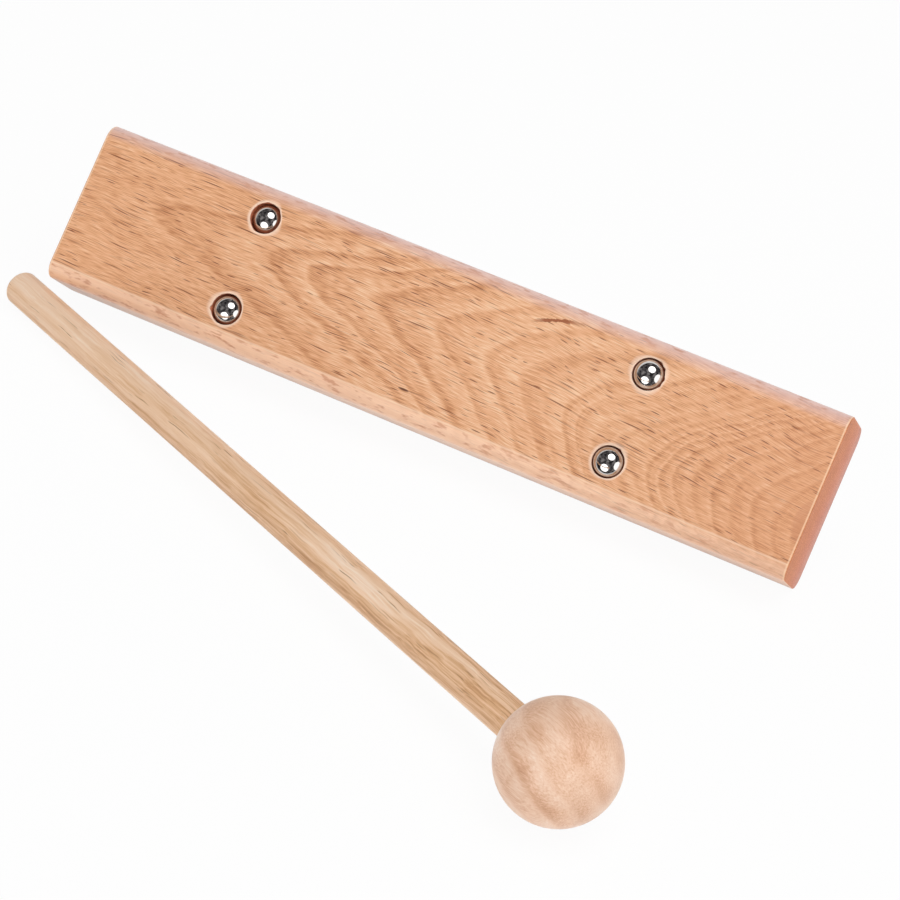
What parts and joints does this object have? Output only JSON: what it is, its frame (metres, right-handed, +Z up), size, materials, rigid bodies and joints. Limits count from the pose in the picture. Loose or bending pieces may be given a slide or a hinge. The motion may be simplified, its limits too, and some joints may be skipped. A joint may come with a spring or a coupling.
{
  "type": "chime bar",
  "caption": "Wooden bar chime turned over: a metal rod held under a rounded beech base by elastic cords that steel balls lock, with a wooden ball mallet beside it.",
  "frame": {"origin": "on the table, under the middle of the box of the base and the mallet", "axes": "+Z up, X along the base, -Y towards the side that the mallet lies on and the underside faces"},
  "size_m": [0.2126, 0.1526, 0.043],
  "materials": {
    "beech": "flat-sawn beech, sanded and satin sealed",
    "aluminium": "fine turned and polished",
    "rubber": "moulded, matt",
    "elastic_cord": "braided polyester over a rubber core",
    "polished_steel": "bearing ball, mirror polished",
    "dowel_wood": "machined dowel, bare and sanded",
    "turned_wood": "turned ball, bare and sanded"
  },
  "bodies": {
    "base": {"base_block": "beech", "saddle_left": "rubber", "saddle_right": "rubber", "lock_ball_1": "polished_steel", "lock_ball_2": "polished_steel", "lock_ball_3": "polished_steel", "lock_ball_4": "polished_steel"},
    "rod": {"chime_rod": "aluminium", "cord_left": "elastic_cord", "cord_right": "elastic_cord"},
    "mallet": {"mallet_handle": "dowel_wood", "mallet_head": "turned_wood"}
  },
  "joints": [
    {"name": "rod_bounce", "type": "slide", "parent": "base", "child": "rod", "axis": [0, 0.7653, -0.6436], "range_m": [0, 0.002], "stiffness_N_per_m": 1500, "springref_m": -0.003},
    {"name": "mallet_lift", "type": "slide", "parent": "base", "child": "mallet", "axis": [0, 0, 1], "range_m": [0, 0.08]}
  ]
}
